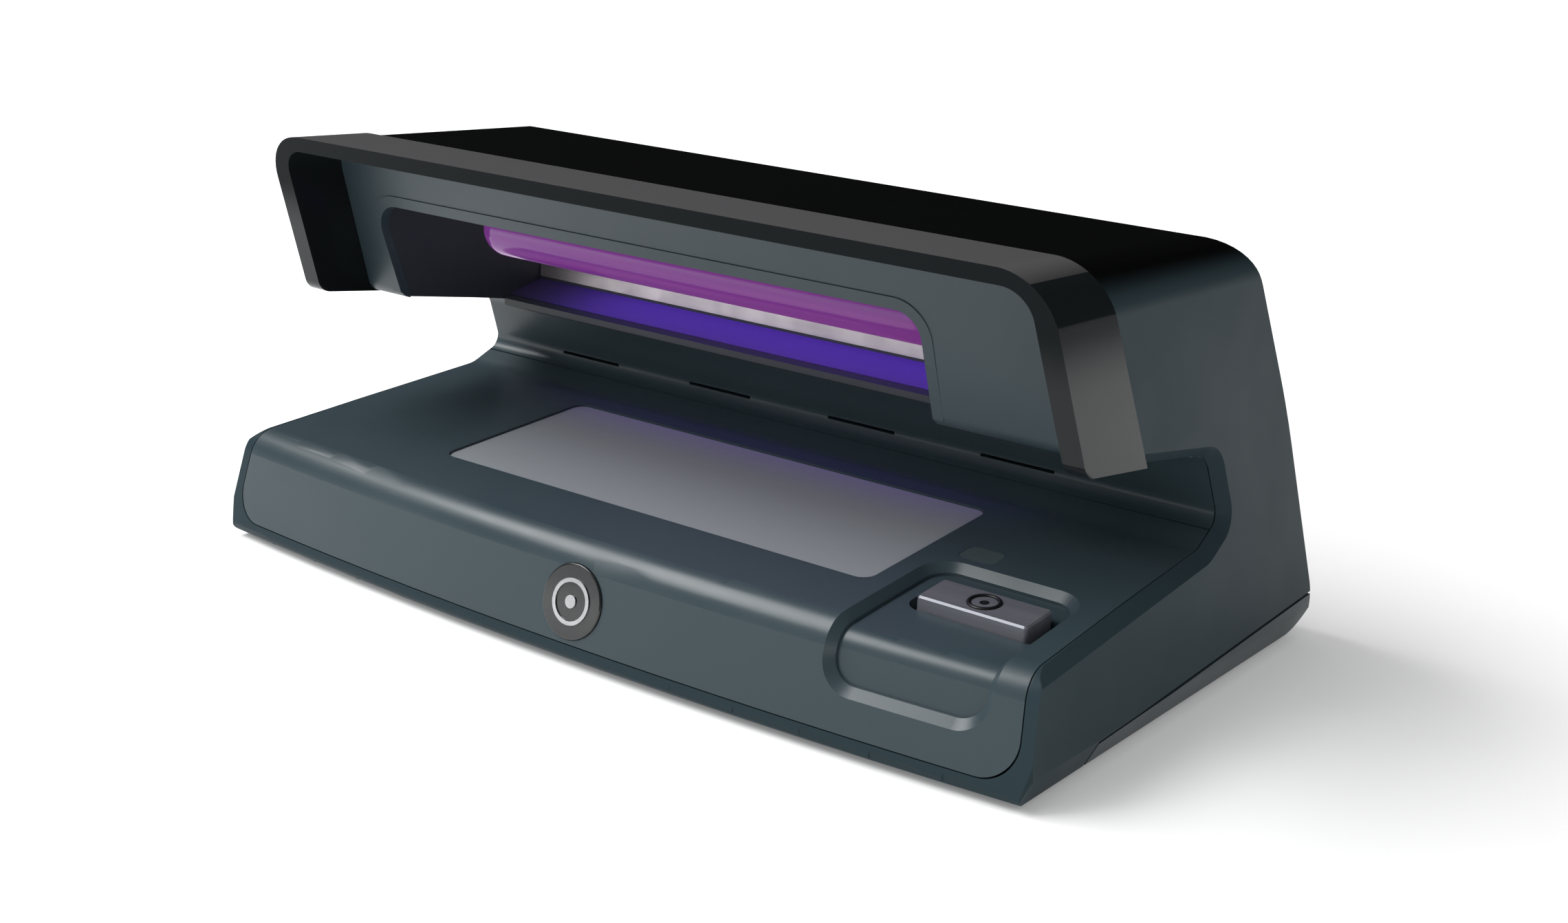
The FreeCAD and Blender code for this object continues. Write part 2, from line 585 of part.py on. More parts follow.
def add_lamp():
    """Twin-tube ultraviolet lamp, its cap, pins, holder, clip and screws."""
    along = V(1, 0, 0)
    centres = [LAMP_Y - TUBE_PITCH / 2, LAMP_Y + TUBE_PITCH / 2]
    pieces = []
    for y in centres:
        start = V(TUBE_LEFT + TUBE_RADIUS, y, LAMP_Z)
        pieces.append(rod(TUBE_RADIUS, TUBE_LENGTH - TUBE_RADIUS, start, along))
        pieces.append(Part.makeSphere(TUBE_RADIUS, start))
    bridge_x = TUBE_LEFT + TUBE_RADIUS + 3
    pieces.append(rod(2.5, TUBE_PITCH, V(bridge_x, centres[0], LAMP_Z), V(0, 1, 0)))
    parts["uv_lamp_tubes"] = join(*pieces)
    cap_x = TUBE_LEFT + TUBE_LENGTH
    cap_outline = [(LAMP_Y - 14, LAMP_Z - 7.6, 4), (LAMP_Y + 14, LAMP_Z - 7.6, 4),
                   (LAMP_Y + 14, LAMP_Z + 7.6, 4), (LAMP_Y - 14, LAMP_Z + 7.6, 4)]
    cap = prism("X", cap_outline, cap_x, HOLDER_X[0] - 0.2)
    post = block(HOLDER_X[0] - 0.3, HOLDER_X[0] + 12, LAMP_Y - 4, LAMP_Y + 4, LAMP_Z - 5, LAMP_Z + 5)
    parts["lamp_cap"] = cap.fuse(post)
    pins = [rod(1.1, 8, V(HOLDER_X[0] - 0.2, y, LAMP_Z), along) for y in (LAMP_Y - 8, LAMP_Y + 8)]
    parts["lamp_pins"] = Part.makeCompound(pins)
    holder = block(HOLDER_X[0], HOLDER_X[1], LAMP_Y - 13.5, LAMP_Y + 13.5, SHELF_Z, LAMP_Z + 8.2)
    holder = holder.cut(block(HOLDER_X[0] - 1, HOLDER_X[0] + 12.3, LAMP_Y - 4.2, LAMP_Y + 4.2, LAMP_Z - 5.2,
                              LAMP_Z + 5.2))
    for y in (LAMP_Y - 8, LAMP_Y + 8):
        holder = holder.cut(rod(1.1, 8.2, V(HOLDER_X[0] - 0.2, y, LAMP_Z), along))
    for x, y in holder_screw_places():
        holder = holder.cut(block(x - 2.4, x + 2.4, y - 2.4, y + 2.4, SHELF_Z + 3, LAMP_Z + 9))
        holder = holder.cut(rod(1.15, 4, V(x, y, SHELF_Z - 0.5)))
    parts["lamp_holder"] = holder
    screws = [screw(0.9, 5.4, V(x, y, SHELF_Z + 3), V(0, 0, -1), 2.0, 1.2) for x, y in holder_screw_places()]
    parts["holder_screws"] = Part.makeCompound(screws)


def add_lamp_clip():
    """Sprung clip that hangs from the chamber's top and grips both tubes."""
    width, thick = 6.0, 0.5
    along = V(1, 0, 0)
    plate_z = CHAMBER_TOP - 0.5
    plate = block(CLIP_X, CLIP_X + width, LAMP_Y - 12, LAMP_Y + 12, plate_z - thick, plate_z)
    clip = plate
    for y in (LAMP_Y - TUBE_PITCH / 2, LAMP_Y + TUBE_PITCH / 2):
        ring = tube(TUBE_RADIUS + thick + 0.02, TUBE_RADIUS + 0.02, width, V(CLIP_X, y, LAMP_Z), along)
        mouth = block(CLIP_X - 1, CLIP_X + width + 1, y - 4.2, y + 4.2, LAMP_Z - 8, LAMP_Z - 2)
        neck = block(CLIP_X, CLIP_X + width, y - 0.6, y + 0.6, LAMP_Z + TUBE_RADIUS + 0.2, plate_z - 0.1)
        clip = clip.fuse(ring.cut(mouth)).fuse(neck)
    parts["lamp_clip"] = clip.removeSplitter()


# ---- the lit window in the deck -------------------------------------------------------------------
def add_backlight():
    half_x, half_y = WINDOW_SIZE[0] / 2 - 0.1, WINDOW_SIZE[1] / 2 - 0.1
    window = block(-half_x, half_x, -half_y, half_y, -WINDOW_LEDGE, -0.5, 2.9)
    parts["backlight_window"] = on_deck(window, 0, WINDOW_Y)
    top = -WALL - GUIDE_GAP
    guide = block(-54.5, 54.5, -20.6, 18.6, top - 3.0, top)
    parts["light_guide"] = on_deck(guide, 0, WINDOW_Y)
    tray = block(-57, 57, -22.2, 22.6, top - 4.4, top).cut(block(-55.6, 55.6, -20.9, 21.2, top - 3.0, 0))
    parts["backlight_tray"] = on_deck(tray, 0, WINDOW_Y)
    board = block(-54, 54, 20.2, 21.1, top - 3.0, top - 0.1)
    parts["led_board"] = on_deck(board, 0, WINDOW_Y)
    leds = [block(x - 1.5, x + 1.5, 18.8, 20.2, top - 2.4, top - 0.6)
            for x in [LED_FIRST + i * LED_PITCH for i in range(LED_COUNT)]]
    parts["backlight_leds"] = on_deck(Part.makeCompound(leds), 0, WINDOW_Y)
    lens = block(-4.0, 4.0, -3.0, 3.0, -WALL, -0.05, 1.5)
    parts["indicator_window"] = on_deck(lens, INDICATOR[0], INDICATOR[1])
    led = rod(1.5, 3.6, V(0, 0, -WALL - 3.6)).fuse(rod(1.9, 0.8, V(0, 0, -WALL - 3.6)))
    parts["indicator_led"] = on_deck(led, INDICATOR[0], INDICATOR[1])


# ---- power button ---------------------------------------------------------------------------------


def add_button():
    """Key with its stem and flange, the guide around it, the return spring and the switch below."""
    half_x, half_y = BUTTON_SIZE[0] / 2, BUTTON_SIZE[1] / 2
    key = block(BUTTON_X - half_x, BUTTON_X + half_x, BUTTON_Y - half_y, BUTTON_Y + half_y,
                FLANGE_LOW, 60, 0.8)
    above = on_deck(block(-30, 30, -30, 30, BUTTON_STAND - SCOOP_DEPTH, 60), BUTTON_X, BUTTON_Y)
    key = key.cut(above)
    top_edges = [e for e in key.Edges
                 if e.CenterOfMass.z > deck_z(BUTTON_Y) - 0.6 and abs(e.tangentAt(0).z) < 0.9]
    key = key.makeChamfer(0.35, top_edges)
    flange = block(BUTTON_X - half_x - 1.8, BUTTON_X + half_x + 1.8, BUTTON_Y - half_y - 1.6,
                   BUTTON_Y + half_y + 1.6, FLANGE_LOW, 40, 2).common(form(SCOOP_DEPTH + WALL + BODY_GAP))
    stem = rod(STEM_RADIUS, FLANGE_LOW - STEM_LOW, V(BUTTON_X, BUTTON_Y, STEM_LOW))
    parts["power_button"] = join(key, flange, stem)
    wall_x, wall_y = half_x + 1.8 + BODY_GAP, half_y + 1.6 + BODY_GAP
    guide = block(BUTTON_X - wall_x - 1.2, BUTTON_X + wall_x + 1.2, BUTTON_Y - wall_y - 1.2,
                  BUTTON_Y + wall_y + 1.2, SPRING_SEAT - 1.4, 40, 3)
    guide = guide.common(form(SCOOP_DEPTH + WALL))
    guide = guide.cut(block(BUTTON_X - wall_x, BUTTON_X + wall_x, BUTTON_Y - wall_y, BUTTON_Y + wall_y,
                            SPRING_SEAT, 40, 2.3))
    parts["button_guide"] = guide.cut(rod(STEM_RADIUS + BODY_GAP, 10, V(BUTTON_X, BUTTON_Y, SPRING_SEAT - 5)))
    parts["button_spring"] = coil_spring(SPRING_SEAT, FLANGE_LOW)
    plunger = rod(1.9, STEM_LOW - PLUNGER_LOW, V(BUTTON_X, BUTTON_Y, PLUNGER_LOW))
    parts["switch_plunger"] = plunger
    body = block(BUTTON_X - 6.2, BUTTON_X + 6.2, BUTTON_Y - 5, BUTTON_Y + 5, SWITCH_BOARD_Z + BOARD_THICK,
                 SWITCH_TOP, 0.8)
    well_low = PLUNGER_LOW - BUTTON_TRAVEL - 0.1
    parts["power_switch"] = body.cut(rod(1.9 + BODY_GAP, 10, V(BUTTON_X, BUTTON_Y, well_low)))
    parts["switch_board"] = block(BUTTON_X - 13, BUTTON_X + 11, BUTTON_Y - 6.5, BUTTON_Y + 6.5,
                                  SWITCH_BOARD_Z, SWITCH_BOARD_Z + BOARD_THICK)


def coil_spring(low, high):
    """Square-wire compression spring between two heights, centred on the button's stem."""
    turns = 4
    rise = high - low - SPRING_WIRE
    helix = Part.makeHelix(rise / turns, rise, SPRING_RADIUS)
    half = SPRING_WIRE / 2
    near, far = SPRING_RADIUS - half, SPRING_RADIUS + half
    section = Part.makePolygon([V(near, 0, -half), V(far, 0, -half), V(far, 0, half), V(near, 0, half),
                                V(near, 0, -half)])
    spring = Part.Wire(helix).makePipeShell([section], True, True)
    spring.translate(V(BUTTON_X, BUTTON_Y, low + SPRING_WIRE / 2))
    return spring


# ---- electronics ----------------------------------------------------------------------------------
def add_control_board():
    x0, x1 = BOARD_HOLES_X[0] - 4, BOARD_HOLES_X[1] + 4
    y0, y1 = BOARD_HOLES_Y[0] - 4, BOARD_HOLES_Y[1] + 4
    board = block(x0, x1, y0, y1, BOARD_Z, BOARD_Z + BOARD_THICK, 1.5)
    for x in BOARD_HOLES_X:
        for y in BOARD_HOLES_Y:
            board = board.cut(rod(1.1, 4, V(x, y, BOARD_Z - 1)))
    parts["control_board"] = board
    screws = [screw(1.0, 4, V(x, y, BOARD_Z + BOARD_THICK), V(0, 0, -1), 2.0, 1.2)
              for x in BOARD_HOLES_X for y in BOARD_HOLES_Y]
    parts["board_screws"] = Part.makeCompound(screws)
    top = BOARD_Z + BOARD_THICK
    cans = []
    sizes = ((-34, 38, 5.0, 16.0), (-22, 40, 4.0, 12.0), (22, 24, 3.2, 10.0), (22, 33, 3.2, 10.0))
    for x, y, radius, height in sizes:
        can = rod(radius, height, V(x, y, top))
        rim = max(can.Edges, key=lambda e: e.CenterOfMass.z if e.Closed else 0)
        cans.append(can.makeFillet(0.6, [rim]))
    parts["capacitors"] = Part.makeCompound(cans)
    core = block(-12, 6, 30, 46, top, top + 14).cut(block(-9, 3, 29, 47, top + 3, top + 11))
    parts["transformer_core"] = core
    parts["transformer_coil"] = block(-8.8, 2.8, 29.4, 46.6, top + 3.1, top + 10.9, 2)
    chips = [block(-6, 4, 15, 21, top, top + 1.8), block(-30, -22, 17, 25, top, top + 1.6),
             block(9, 13, 14, 18, top, top + 1.2)]
    parts["board_chips"] = Part.makeCompound(chips)
    sink = block(-38, -20, 27, 30, top, top + 12)
    for i in range(6):
        sink = sink.fuse(block(-37.6 + i * 3.4, -36.4 + i * 3.4, 27, 32.4, top, top + 12))
    parts["heat_sink"] = sink.removeSplitter()
    plugs = []
    for x in CONNECTOR_X:
        body = block(x - 4.5, x + 4.5, 41, 47, top, top + 6)
        plugs.append(body)
    parts["board_connectors"] = Part.makeCompound(plugs)


def add_power_jack():
    """Barrel socket at the rear, seated on the base, with its centre pin."""
    front_y = 56.0
    body = block(JACK_X - 4.5, JACK_X + 4.5, 44.5, front_y, JACK_Z[0], JACK_Z[1])
    middle = (JACK_Z[0] + JACK_Z[1]) / 2
    body = body.cut(rod(3.2, 9, V(JACK_X, front_y, middle), V(0, -1, 0)))
    pin = rod(1.05, 9.5, V(JACK_X, front_y - 10, middle), V(0, 1, 0))
    parts["dc_jack"] = body.cut(pin)
    parts["jack_pin"] = pin


def wire_run(points, radius):
    """Held wire through straight runs with round elbows."""
    pieces = []
    for start, end in zip(points, points[1:]):
        pieces.append(rod(radius, (end - start).Length, start, end - start))
    pieces += [Part.makeSphere(radius, p) for p in points[1:-1]]
    return join(*pieces)


def add_wiring():
    """Looms from the board to the lamp holder, the lit window, the switch and the power jack."""
    top = BOARD_Z + BOARD_THICK + 6
    lamp = []
    for shift in (-1.2, 1.2):
        x = CONNECTOR_X[1] + shift
        lamp.append(wire_run([V(x, 44, top), V(x, 44, top + 9), V(80 + shift, 36, 30 + shift),
                              V(82 + shift, 24, 56), V(82 + shift, 10, 83.5), V(82 + shift, -4, 84),
                              V(82 + shift, -4, LAMP_Z + 8.2)], 0.9))
    parts["lamp_wires"] = Part.makeCompound(lamp)
    jack = [wire_run([V(JACK_X + s, 44.5, 16), V(JACK_X + s, 37 + s, 16), V(40, 37 + s, 13),
                      V(CONNECTOR_X[1] + 4.8, 44 + s, 12)], 0.7) for s in (-1.2, 1.2)]
    parts["power_wires"] = Part.makeCompound(jack)
    board_top = SWITCH_BOARD_Z + BOARD_THICK
    switch = [wire_run([V(BUTTON_X - 12, BUTTON_Y - s, board_top), V(BUTTON_X - 12, BUTTON_Y - s, 9),
                        V(50 + s, -10, 9), V(50 + s, 8 + s, 13), V(CONNECTOR_X[0] + s, 8 + s, 13),
                        V(CONNECTOR_X[0] + s, 41, 13)], 0.6) for s in (-1.2, 1.2)]
    parts["switch_wires"] = Part.makeCompound(switch)


# ---- badge ------------------------------------------------------------------------------------------
def add_badge():
    disc = rod(BADGE_RADIUS, BADGE_SINK + 0.4, V(0, 0, -BADGE_SINK))
    rim = max(disc.Edges, key=lambda e: e.CenterOfMass.z if e.Closed else -9)
    parts["front_badge"] = on_front(disc.makeFillet(0.3, [rim]), BADGE_X, BADGE_Z)
    ring = tube(4.6, 3.8, 0.25, V(0, 0, 0.4)).fuse(rod(1.3, 0.25, V(0, 0, 0.4)))
    parts["badge_emblem"] = on_front(ring, BADGE_X, BADGE_Z)


def main():
    os.makedirs("parts", exist_ok=True)
    build_shells()
    add_main_housing()
    add_deck_cover()
    add_column_panel()
    add_base_cover()
    add_feet_and_screws()
    add_front_bezel()
    add_lamp_panel()
    add_lamp_chamber()
    add_reflector()
    add_lamp()
    add_lamp_clip()
    add_backlight()
    add_button()
    add_control_board()
    add_power_jack()
    add_wiring()
    add_badge()
    for name, shape in parts.items():
        shape.translate(V(0, CENTRE_SHIFT, 0))
        shape.exportStep("parts/" + name + ".step")
        print(name, shape.isValid(), len(shape.Solids), round(shape.Volume, 1))


main()
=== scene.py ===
import math

import bmesh
import bpy
from mathutils import Matrix, Vector


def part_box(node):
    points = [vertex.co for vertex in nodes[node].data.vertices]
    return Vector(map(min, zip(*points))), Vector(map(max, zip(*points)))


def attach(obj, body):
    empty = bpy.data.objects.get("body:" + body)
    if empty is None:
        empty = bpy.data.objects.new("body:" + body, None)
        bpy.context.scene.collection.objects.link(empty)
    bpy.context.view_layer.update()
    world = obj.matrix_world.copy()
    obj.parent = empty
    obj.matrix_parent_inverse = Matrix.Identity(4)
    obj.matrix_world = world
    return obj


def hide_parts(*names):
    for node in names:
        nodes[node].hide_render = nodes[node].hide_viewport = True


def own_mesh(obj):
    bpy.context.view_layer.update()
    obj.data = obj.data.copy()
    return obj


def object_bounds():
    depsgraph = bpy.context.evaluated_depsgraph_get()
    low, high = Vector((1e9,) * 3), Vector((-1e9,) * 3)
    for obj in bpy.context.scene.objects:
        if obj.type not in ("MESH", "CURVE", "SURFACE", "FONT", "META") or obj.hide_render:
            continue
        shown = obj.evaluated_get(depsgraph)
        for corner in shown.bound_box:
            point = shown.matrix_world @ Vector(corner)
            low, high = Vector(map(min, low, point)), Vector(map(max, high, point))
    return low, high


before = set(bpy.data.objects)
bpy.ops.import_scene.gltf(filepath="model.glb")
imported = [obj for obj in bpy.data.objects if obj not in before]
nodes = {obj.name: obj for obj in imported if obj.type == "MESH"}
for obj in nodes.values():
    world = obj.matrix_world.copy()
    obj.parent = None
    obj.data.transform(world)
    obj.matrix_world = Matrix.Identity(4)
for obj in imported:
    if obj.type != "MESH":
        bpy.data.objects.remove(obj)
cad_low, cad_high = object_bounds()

MM = 0.001

# ---- the camera, at the photograph's angle ------------------------------------------------------
CAMERA_PLACE = Vector((0.2428, -0.3163, 0.1426))
CAMERA_AZIMUTH = math.radians(32.75)
CAMERA_ELEVATION = math.radians(15.33)
CAMERA_ROLL = math.radians(4.37)
CAMERA_LENS = 43.95
CAMERA_SHIFT = (-0.0837, -0.0081)

# ---- sizes shared by several pieces, all in metres -----------------------------------------------
key_low, key_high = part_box("power_button")
key_middle = (key_low + key_high) / 2
DECK_TILT = math.radians(5.75)
TUBE_RADIUS = 6.0 * MM
SYMBOL_RADIUS = 2.9 * MM
SYMBOL_LINE = 0.42 * MM
SYMBOL_DOT = 0.95 * MM
TOP_SETBACK = 4.6 * MM   # from the key's highest edge to its middle
RESISTORS = 6
EDGE_ROUND = 0.35 * MM

# ---- finishes, and painted light and shade -------------------------------------------------------
HOUSING_COLOUR = (0.030, 0.048, 0.057)
BODY_COLOUR = (0.022, 0.037, 0.044)
# Painted shade: near black on the body's upward faces above this height, fading down the top's rounding.
BODY_TOP_PAINTED_SHADE = (0.002, 0.002, 0.002)
BODY_TOP_SHADE_FROM = 75 * MM
# Painted reflection: mid grey on the bezel's upward faces above this height, standing in for the grey it
# reflects.
BEZEL_TOP_PAINTED_REFLECTION = (0.075, 0.073, 0.075)
BEZEL_REFLECTION_FROM = 88 * MM
BEZEL_GLOSS = (0.22, 0.03)           # specular level low down and high up
BEZEL_FADE = (68 * MM, 80 * MM)      # between these heights
# Painted lamp light: violet on the chamber's upward faces above this height, where the tube's light falls.
CHAMBER_PAINTED_LAMP_LIGHT = (0.10, 0.09, 0.20)
CHAMBER_LAMP_LIGHT_FROM = 50 * MM
TUBE_GLOW = 0.5

# ---- light ---------------------------------------------------------------------------------------
# name, place, aim, size, watts, whether reflections show it
STUDIO_LIGHTS = (
    ("key", (-0.35, -0.9, 0.75), (0, -0.02, 0.03), (0.7, 0.5), 4.0, False),
    ("overhead", (-0.45, -0.35, 0.7), (0.03, -0.04, 0.02), (0.65, 0.45), 8.0, True),
    ("side", (1.0, -0.1, 0.45), (0.08, 0, 0.04), (0.5, 0.5), 0.6, False),
)
LAMP_LIGHT_SIZE = (0.125, 0.008)
LAMP_LIGHT_WATTS = 0.018
LAMP_LIGHT_SPREAD = math.radians(110)
LAMP_LIGHT_AIM = (18 * MM, 50 * MM)  # Y and Z of the foot of the chamber's rear wall
WORLD_DIFFUSE = (0.48, 0.48, 0.48, 1)
WORLD_GLOSSY = (0.012, 0.013, 0.014, 1)
WORLD_CAMERA = (1, 1, 1, 1)
VIOLET = (0.34, 0.12, 1.0)
FLOOR_HALF = 12.0
FLOOR_DROP = 0.0002
# The floor's glow is weaker near the object: painted shade around its foot.
FLOOR_GLOW = (0.16, 0.68)            # near the object and far from it
FLOOR_GLOW_REACH = (0.12, 0.45)      # distances of the two


# ---- materials ------------------------------------------------------------------------------------
def principled(name, colour, roughness, metallic=0.0, coat=0.0, coat_roughness=0.05, specular=0.5):
    material = bpy.data.materials.new(name)
    material.use_nodes = True
    shader = material.node_tree.nodes["Principled BSDF"]
    shader.inputs["Base Color"].default_value = (*colour, 1)
    shader.inputs["Roughness"].default_value = roughness
    shader.inputs["Metallic"].default_value = metallic
    shader.inputs["Coat Weight"].default_value = coat
    shader.inputs["Coat Roughness"].default_value = coat_roughness
    shader.inputs["Specular IOR Level"].default_value = specular
    return material, shader


def add(material, kind, **settings):
    """New shader node of a kind, with its properties or input sockets set by name."""
    node = material.node_tree.nodes.new(kind)
    for key, value in settings.items():
        socket = key.replace("_", " ").title()
        if hasattr(node, key):
            setattr(node, key, value)
        else:
            node.inputs[socket].default_value = value
    return node


def link(material, source, target):
    material.node_tree.links.new(source, target)


def place_texture(material, stretch=(1, 1, 1)):
    """Object coordinates, stretched along the axes."""
    source = add(material, "ShaderNodeTexCoord")
    mapping = add(material, "ShaderNodeMapping", scale=stretch)
    link(material, source.outputs["Object"], mapping.inputs["Vector"])
    return mapping.outputs["Vector"]


def vary_colour(material, shader, colour, scale, amount, stretch=(1, 1, 1)):
    """Base colour that drifts a little over the surface."""
    noise = add(material, "ShaderNodeTexNoise", scale=scale, detail=4.0)
    link(material, place_texture(material, stretch), noise.inputs["Vector"])
    ramp = add(material, "ShaderNodeValToRGB")
    ramp.color_ramp.elements[0].position = 0.35
    ramp.color_ramp.elements[1].position = 0.65
    ramp.color_ramp.elements[0].color = (*[c * (1 - amount) for c in colour], 1)
    ramp.color_ramp.elements[1].color = (*[min(1, c * (1 + amount)) for c in colour], 1)
    link(material, noise.outputs["Fac"], ramp.inputs["Fac"])
    link(material, ramp.outputs["Color"], shader.inputs["Base Color"])


def vary_roughness(material, shader, low, high, scale):
    noise = add(material, "ShaderNodeTexNoise", scale=scale, detail=3.0)
    link(material, place_texture(material), noise.inputs["Vector"])
    spread = add(material, "ShaderNodeMapRange")
    spread.inputs["From Min"].default_value = 0.3
    spread.inputs["From Max"].default_value = 0.7
    spread.inputs["To Min"].default_value = low
    spread.inputs["To Max"].default_value = high
    link(material, noise.outputs["Fac"], spread.inputs["Value"])
    link(material, spread.outputs["Result"], shader.inputs["Roughness"])


def add_grain(material, shader, scale, height, stretch=(1, 1, 1), strength=0.4):
    """Fine moulded or brushed relief."""
    noise = add(material, "ShaderNodeTexNoise", scale=scale, detail=5.0)
    link(material, place_texture(material, stretch), noise.inputs["Vector"])
    bump = add(material, "ShaderNodeBump", strength=strength, distance=height)
    link(material, noise.outputs["Fac"], bump.inputs["Height"])
    link(material, bump.outputs["Normal"], shader.inputs["Normal"])


def moulded(name, colour, roughness, grain=1800.0, relief=0.00002, coat=0.0, specular=0.5):
    """Injection-moulded plastic: slight drift in colour and gloss over a fine grain."""
    material, shader = principled(name, colour, roughness, coat=coat, specular=specular)
    vary_colour(material, shader, colour, 14.0, 0.05)
    vary_roughness(material, shader, roughness - 0.03, roughness + 0.04, 60.0)
    add_grain(material, shader, grain, relief)
    return material


def metal(name, colour, roughness, stretch=(1, 1, 1), grain=900.0):
    """Metal with a brushed grain along the axis whose stretch is smallest."""
    material, shader = principled(name, colour, roughness, metallic=1.0)
    vary_colour(material, shader, colour, 300.0, 0.06, stretch)
    vary_roughness(material, shader, roughness - 0.04, roughness + 0.06, 200.0)
    add_grain(material, shader, grain, 0.00001, stretch)
    return material


def paint_light_and_shade_on_top(material, shader, painted_top_colour, lowest, level=0.75):
    """Painted light and shade: changes the base colour where the surface faces up, above a height."""
    texture = shader.inputs["Base Color"].links
    source = texture[0].from_socket if texture else None
    geometry = add(material, "ShaderNodeNewGeometry")
    split = add(material, "ShaderNodeSeparateXYZ")
    link(material, geometry.outputs["Normal"], split.inputs["Vector"])
    facing = add(material, "ShaderNodeMapRange", interpolation_type="SMOOTHSTEP")
    facing.inputs["From Min"].default_value = level - 0.25
    facing.inputs["From Max"].default_value = level + 0.2
    link(material, split.outputs["Z"], facing.inputs["Value"])
    place = add(material, "ShaderNodeSeparateXYZ")
    link(material, place_texture(material), place.inputs["Vector"])
    above = add(material, "ShaderNodeMath", operation="GREATER_THAN")
    above.inputs[1].default_value = lowest
    link(material, place.outputs["Z"], above.inputs[0])
    # Mask of upward faces above the height, where the painted light and shade go.
    painted_top_mask = add(material, "ShaderNodeMath", operation="MULTIPLY")
    link(material, facing.outputs["Result"], painted_top_mask.inputs[0])
    link(material, above.outputs["Value"], painted_top_mask.inputs[1])
    mix = add(material, "ShaderNodeMix", data_type="RGBA")
    link(material, painted_top_mask.outputs["Value"], mix.inputs["Factor"])
    if source:
        link(material, source, mix.inputs["A"])
    else:
        mix.inputs["A"].default_value = shader.inputs["Base Color"].default_value
    mix.inputs["B"].default_value = (*painted_top_colour, 1)
    link(material, mix.outputs["Result"], shader.inputs["Base Color"])


def fade_specular(material, shader, below, above, low, high):
    """Specular level that goes from one value to another between two heights."""
    place = add(material, "ShaderNodeSeparateXYZ")
    link(material, place_texture(material), place.inputs["Vector"])
    fade = add(material, "ShaderNodeMapRange", interpolation_type="SMOOTHSTEP")
    fade.inputs["From Min"].default_value = low
    fade.inputs["From Max"].default_value = high
    fade.inputs["To Min"].default_value = below
    fade.inputs["To Max"].default_value = above
    link(material, place.outputs["Z"], fade.inputs["Value"])
    link(material, fade.outputs["Result"], shader.inputs["Specular IOR Level"])


def paint(material, *names):
    for name in names:
        nodes[name].data.materials.clear()
        nodes[name].data.materials.append(material)


def board_material():
    """Green solder mask with thin copper tracks under it."""
    base, track = (0.012, 0.11, 0.05), (0.03, 0.2, 0.09)
    material, shader = principled("circuit_board", base, 0.35, coat=0.4)
    bricks = add(material, "ShaderNodeTexBrick", scale=260.0, mortar_size=0.012)
    bricks.offset = 0.37
    bricks.squash = 1.6
    bricks.inputs["Color1"].default_value = (*base, 1)
    bricks.inputs["Color2"].default_value = (*[c * 0.8 for c in base], 1)
    bricks.inputs["Mortar"].default_value = (*track, 1)
    link(material, place_texture(material), bricks.inputs["Vector"])
    link(material, bricks.outputs["Color"], shader.inputs["Base Color"])
    add_grain(material, shader, 700.0, 0.00001)
    return material


def label_material():
    """Brushed foil with rows of blank grey bars where a plate has its print."""
    foil, bar = (0.62, 0.62, 0.64), (0.2, 0.2, 0.21)
    material, shader = principled("rating_foil", foil, 0.35, metallic=0.7)
    bricks = add(material, "ShaderNodeTexBrick", scale=120.0, mortar_size=0.03)
    bricks.inputs["Color1"].default_value = (*foil, 1)
    bricks.inputs["Color2"].default_value = (*bar, 1)
    bricks.inputs["Mortar"].default_value = (*foil, 1)
    bricks.inputs["Bias"].default_value = -0.5
    link(material, place_texture(material), bricks.inputs["Vector"])
    link(material, bricks.outputs["Color"], shader.inputs["Base Color"])
    add_grain(material, shader, 500.0, 0.00001, (1, 30, 1))
    return material


def glowing_tube():
    """Violet fluorescent glass, with faint streaks along the tube."""
    material, shader = principled("lamp_glow", (0.06, 0.012, 0.09), 0.12, coat=0.2, specular=0.3)
    streaks = add(material, "ShaderNodeTexNoise", scale=60.0, detail=3.0)
    link(material, place_texture(material, (0.15, 6, 6)), streaks.inputs["Vector"])
    ramp = add(material, "ShaderNodeValToRGB")
    ramp.color_ramp.elements[0].position = 0.3
    ramp.color_ramp.elements[1].position = 0.7
    ramp.color_ramp.elements[0].color = (0.22, 0.04, 0.3, 1)
    ramp.color_ramp.elements[1].color = (0.34, 0.075, 0.36, 1)
    link(material, streaks.outputs["Fac"], ramp.inputs["Fac"])
    link(material, ramp.outputs["Color"], shader.inputs["Emission Color"])
    shader.inputs["Emission Strength"].default_value = TUBE_GLOW
    return material


def glow(name, colour, strength, roughness=0.3):
    material, shader = principled(name, colour, roughness)
    vary_colour(material, shader, colour, 400.0, 0.05)
    shader.inputs["Emission Color"].default_value = (*colour, 1)
    shader.inputs["Emission Strength"].default_value = strength
    return material


def key_metal():
    """Satin paint with a metal flake."""
    colour = (0.15, 0.155, 0.18)
    material, shader = principled("key_metal", colour, 0.32, metallic=0.35)
    vary_colour(material, shader, colour, 500.0, 0.08, (0.06, 1, 1))
    add_grain(material, shader, 1500.0, 0.00001, (0.06, 1, 1))
    return material


def clear_plastic(name, colour, roughness, transmission):
    material, shader = principled(name, colour, roughness)
    shader.inputs["Transmission Weight"].default_value = transmission
    shader.inputs["IOR"].default_value = 1.49
    vary_roughness(material, shader, roughness, roughness + 0.08, 300.0)
    return material


